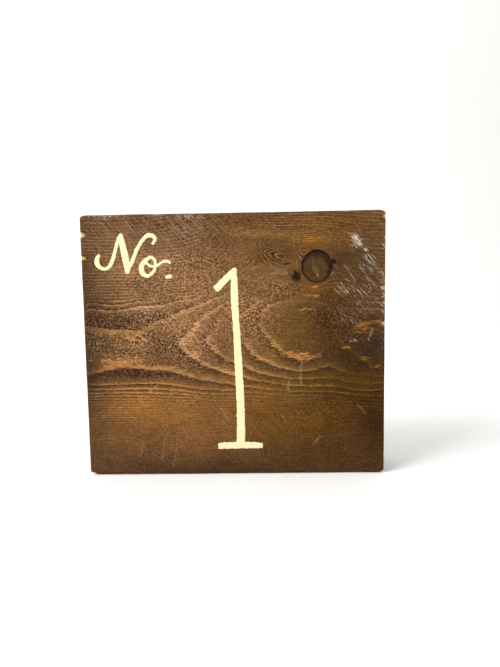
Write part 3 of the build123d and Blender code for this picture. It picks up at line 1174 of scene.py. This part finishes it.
sleeve = bmesh.new()
plug(sleeve, bark_thickness - bark_shrink, overshoot=0.0)
inner_rims = []
for depth in (front, back):
    cap = end_face(sleeve, depth)
    inset_rings(sleeve, cap, bark_thickness / bark_rings, bark_rings)
    inner_rims.extend(cap.edges)
    bmesh.ops.delete(sleeve, geom=[cap], context="FACES_ONLY")
bmesh.ops.bridge_loops(sleeve, edges=inner_rims)
long_edges = [e for e in sleeve.edges if abs(e.verts[0].co.y - e.verts[1].co.y) > 30]
bmesh.ops.subdivide_edges(sleeve, edges=long_edges, cuts=24, use_grid_fill=True)
bmesh.ops.recalc_face_normals(sleeve, faces=sleeve.faces)
points = points_of(sleeve)
into_sleeve = (np.linalg.norm((points[:, (0, 2)] - knot_centre) / knot_half, axis=1) - 1) * knot_half[0]
ragged_edge = 0.35 * lumps(points, (2.6, 2.6, 2.6))
stain_filled_share = most_filled * smooth_step(into_sleeve / bark_thickness + ragged_edge, 0.55, 0.95)
rim = smooth_step(np.abs(points[:, 1]), back - 1.0, back)
crumble = bark_sunk + crumb_depth * lumps(points, (1.6, 1.6, 1.6))
crumble += fine_crumb_depth * lumps(points, (0.7, 0.7, 0.7))
points[:, 1] -= np.sign(points[:, 1]) * rim * np.maximum(crumble, 0.02)
move_points(sleeve, points)
print(f"bark sunk by up to {crumble.max():.2f} mm")

# %% [markdown]
# Bark is rough and has no shine, so the eye sees a nearly black line that breaks into scales. It is
# purple-brown along the low side, where light gets at it, and stain has filled its outer edge.

# %% Mix the bark and finish the sleeve
bark_crust, tree = start_material("dead bark, dried and crumbling")
place = in_millimetres(tree)
scales = uneven(tree, place, (1.3, 3.0, 1.3), low=0.35, high=0.65, detail=4.0)
colour = add(tree, "ValToRGB", {0: scales}, stops=[(0.0, "#0d0705"), (0.6, "#1a0e0a"), (1.0, "#3a2620")])
height_up = add(tree, "SeparateXYZ", {0: place}).outputs["Z"]
low_side = add(tree, "MapRange", {"Value": height_up, 1: 145.0, 2: 138.0, 4: 0.6})
stain_filled = add(tree, "Attribute", attribute_name="stain_filled").outputs["Fac"]
for share, tone in ((low_side, "#4a2a26"), (stain_filled, "#4c3118")):
    colour = add(tree, "Mix", {0: share, 6: colour, 7: tone}, data_type="RGBA")
bump = add(tree, "Bump", {"Strength": 0.8, "Distance": 0.2 * MM, "Height": scales})
finish_material(bark_crust, Base_Color=colour, Roughness=0.8, Specular_IOR_Level=0.06, Normal=bump)
bark = finish_piece(sleeve, "bark_sleeve", bark_crust, "knot_bark")
store(bark, "stain_filled", stain_filled_share)

# %% [markdown]
# ## The lettering
# Craft acrylic, laid with a small flat brush in one coat. Paint pulls itself round at its edges and
# stands in a low crown along the stroke, its edge wavers where the bristles splayed, and it follows
# the grain under it. The CAD film already has every stroke's outline, so a copy of it is merged, cut
# into a fine grid with bisecting planes, and its points are moved: the edge wavers, the top is crowned,
# and the whole film is laid on the relief of the wood.

# %% Cut a copy of a CAD film into a grid
film_grid = 0.5
film_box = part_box("numeral_one_paint")
film_thickness = (film_box[1].y - film_box[0].y) / MM


def film_copy(node):
    """A merged copy of a CAD film, in millimetres, cut into small cells."""
    bm = bmesh.new()
    bm.from_mesh(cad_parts[node].data)
    bmesh.ops.scale(bm, vec=Vector((1, 1, 1)) / MM, verts=bm.verts)
    bmesh.ops.remove_doubles(bm, verts=bm.verts, dist=0.002)
    bmesh.ops.dissolve_limit(bm, angle_limit=math.radians(1), verts=bm.verts, edges=bm.edges)
    low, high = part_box(node)
    for axis in (0, 2):
        normal = Vector((0, 0, 0))
        normal[axis] = 1
        count = round((high[axis] - low[axis]) / MM / film_grid)
        for step in range(1, count):
            plane = low / MM + normal * (step * film_grid)
            geometry = [*bm.verts, *bm.edges, *bm.faces]
            bmesh.ops.bisect_plane(bm, geom=geometry, dist=0.0005, plane_co=plane, plane_no=normal)
    bmesh.ops.remove_doubles(bm, verts=bm.verts, dist=0.02)
    return bm


print(f"paint film {film_thickness:.2f} mm thick")

# %% Find the wood under the film, and where the brush strayed


def wood_height(points):
    """How far the block's face stands out under every point."""
    below = points.copy()
    below[:, 1] = front
    facing = np.tile((0.0, -1.0, 0.0), (len(below), 1))
    return relief(below, rings_in_wood(below), surface_pitch(ring_slope(below), facing))


# Where the brush strayed from the plain outline: a place, half sizes and how far it went, right and up.
STRAYS = {
    "capital_n_paint": [
        ((-90, 144), (8, 5), (0.7, 1.8)),
        ((-97, 152), (4, 6), (0.9, 0.3)),
        ((-71.5, 143), (4, 6), (-0.9, 0.1)),
        ((-77, 170), (5, 5), (-0.2, 0.8)),
    ],
    "numeral_one_paint": [
        ((-2.2, 36.5), (1.4, 1.3), (-0.8, 0.0)),
        ((4.6, 64), (1.5, 5), (0.4, 0.0)),
    ],
}
print("the brush strayed in", sum(len(places) for places in STRAYS.values()), "places")

# %% Crown the film and let its edge waver
crown_width = 0.9
edge_share = 0.45
letter_waver = 0.26
numeral_waver = 0.44
waver_reach = 0.6
edge_shrink = 0.12
film_sink = 0.25


def paint_film(node, name, waver_size):
    """Makes one brushed letter from its CAD film, its edge wavering by waver_size millimetres."""
    bm = film_copy(node)
    bm.normal_update()
    # The points of the film's walls, each with the direction that its wall faces.
    walls = {}
    for face in bm.faces:
        if abs(face.normal.y) < 0.5:
            for vert in face.verts:
                walls[vert.index] = walls.get(vert.index, Vector()) + face.normal
    points = points_of(bm)
    outline = kdtree.KDTree(len(walls))
    for number in walls:
        outline.insert((points[number][0], 0, points[number][2]), number)
    outline.balance()
    nearest = [outline.find((x, 0, z)) for x, _, z in points]
    from_edge = np.array([distance for _, _, distance in nearest])
    away = np.array([walls[number].normalized() for _, number, _ in nearest])
    waver = lumps(points, (1.7, 9.0, 1.7)) + 0.75 * lumps(points, (0.75, 9.0, 0.75))
    waver = waver_size * waver - edge_shrink
    on_wood = wood_height(points)
    top = points[:, 1] < front - film_thickness / 2
    inwards = np.minimum(from_edge / crown_width, 1)
    crown = edge_share + (1 - edge_share) * np.sqrt(np.clip(1 - (1 - inwards) ** 2, 0, 1))
    body = film_thickness * crown * (1 + 0.25 * lumps(points, (5.0, 5.0, 7.0)))
    points += away * (waver * np.exp(-from_edge / waver_reach))[:, None]
    for place, half_size, step in STRAYS.get(node, []):
        points[:, (0, 2)] += over_face(points, place, half_size)[:, None] * step
    points[:, 1] = np.where(top, front - on_wood - body, front + film_sink)
    move_points(bm, points)
    bmesh.ops.recalc_face_normals(bm, faces=bm.faces)
    piece = finish_piece(bm, name, brushed_paint, node)
    store(piece, "from_edge", from_edge)


print("waver of the edges in mm, letters and numeral:", letter_waver, numeral_waver)

# %% [markdown]
# The paint's material is craft acrylic: dry, it has a low soft sheen, and the eye sees a warm cream
# that is a little darker where the coat is thin. The bristles leave furrows along the stroke, so their
# noise reads the distance from the edge. Real furrows are 0.1 mm apart, and here they are three times
# as coarse, so that they show.

# %% Mix the paint
brushed_paint, tree = start_material("craft acrylic, brushed on in one coat")
place = in_millimetres(tree)
from_edge = add(tree, "Attribute", attribute_name="from_edge").outputs["Fac"]
slow = add(tree, "VectorMath", (place, (0.10, 0.10, 0.10)), "MULTIPLY")
bristle_place = add(tree, "CombineXYZ", {0: from_edge})
bristle_place = add(tree, "VectorMath", (bristle_place, slow), "ADD")
bristles = uneven(tree, bristle_place, (0.32, 0.32, 0.32), low=0.35, high=0.65, detail=3.0)
thin = uneven(tree, place, (2.2, 2.2, 2.2), low=0.5, high=0.8, to_high=0.35)
streaks = add(tree, "Math", (bristles, 0.34), "MULTIPLY")
streaks = add(tree, "Math", (streaks, thin), "MAXIMUM")
colour = add(tree, "Mix", {0: streaks, 6: "#f6ebba", 7: "#d9c886"}, data_type="RGBA")
bump = add(tree, "Bump", {"Strength": 0.6, "Distance": 0.05 * MM, "Height": bristles})
finish_material(
    brushed_paint,
    Base_Color=colour,
    Roughness=0.55,
    IOR=1.49,
    Specular_IOR_Level=0.35,
    Normal=bump,
)

# %% Brush the letters
paint_film("capital_n_paint", "brushed_n", letter_waver)
paint_film("letter_o_paint", "brushed_o", letter_waver)
paint_film("full_stop_paint", "brushed_full_stop", letter_waver)
paint_film("numeral_one_paint", "brushed_one", numeral_waver)

# %% [markdown]
# ## The room
# A pale sheet of paper swept up behind the block, one large soft lamp high on the left and a weaker
# one on the right, and a bright plain sky. Nothing in the room has a colour of its own.

# %% Sweep the backdrop
sweep_width = 6.0
sweep_back = 1.6
sweep_front = -2.5
sweep_height = 3.0
sweep_radius = 0.8
bend_steps = 16

sweep = bmesh.new()
floor_edge = [Vector((0, sweep_front, 0)), Vector((0, sweep_back - sweep_radius, 0))]
for step in range(1, bend_steps + 1):
    angle = math.pi / 2 * step / bend_steps
    depth = sweep_back - sweep_radius * (1 - math.sin(angle))
    floor_edge.append(Vector((0, depth, sweep_radius * (1 - math.cos(angle)))))
floor_edge.append(Vector((0, sweep_back, sweep_height)))
line = [sweep.verts.new(point - Vector((sweep_width / 2, 0, 0))) for point in floor_edge]
profile = [sweep.edges.new(pair) for pair in zip(line, line[1:])]
across = bmesh.ops.extrude_edge_only(sweep, edges=profile)["geom"]
moved_over = [part for part in across if isinstance(part, bmesh.types.BMVert)]
bmesh.ops.translate(sweep, vec=Vector((sweep_width, 0, 0)), verts=moved_over)
for face in sweep.faces:
    face.smooth = True
paper = put_in_scene(sweep, "paper_sweep")
print("the paper has", len(paper.data.polygons), "faces")

# Seamless paper is matt: it sends light every way, so the eye sees no edge and no shine.
matt_paper, tree = start_material("paper, matt white")
finish_material(matt_paper, Base_Color="#f4f3f1", Roughness=0.9, Specular_IOR_Level=0.1)
paper.data.materials.append(matt_paper)

# %% Hang the lamps

def hang_lamp(name, place, target, size, watts):
    """A square soft lamp that points at target."""
    lamp = bpy.data.lights.new(name, "AREA")
    lamp.size = size
    lamp.energy = watts
    holder = bpy.data.objects.new(name, lamp)
    bpy.context.collection.objects.link(holder)
    aim = (Vector(target) - Vector(place)).to_track_quat("-Z", "Y").to_matrix().to_4x4()
    holder.matrix_world = Matrix.Translation(Vector(place)) @ aim


hang_lamp("key_lamp", (-1.5, -0.9, 1.4), (0, 0, 0.1), size=1.2, watts=50.0)
hang_lamp("top_lamp", (0.2, 0.3, 2.4), (0, 0.4, 0), size=2.4, watts=26.0)
hang_lamp("fill_lamp", (1.5, -1.2, 0.7), (0, 0, 0.1), size=1.4, watts=5.0)
sky = bpy.data.worlds.new("plain sky")
sky.use_nodes = True
sky_light = sky.node_tree.nodes["Background"]
sky_light.inputs["Color"].default_value = linear("#ffffff")
sky_light.inputs["Strength"].default_value = 0.38
bpy.context.scene.world = sky
bpy.context.scene.view_settings.view_transform = "Standard"
print("sky at", round(sky_light.inputs["Strength"].default_value, 2), "of full strength")
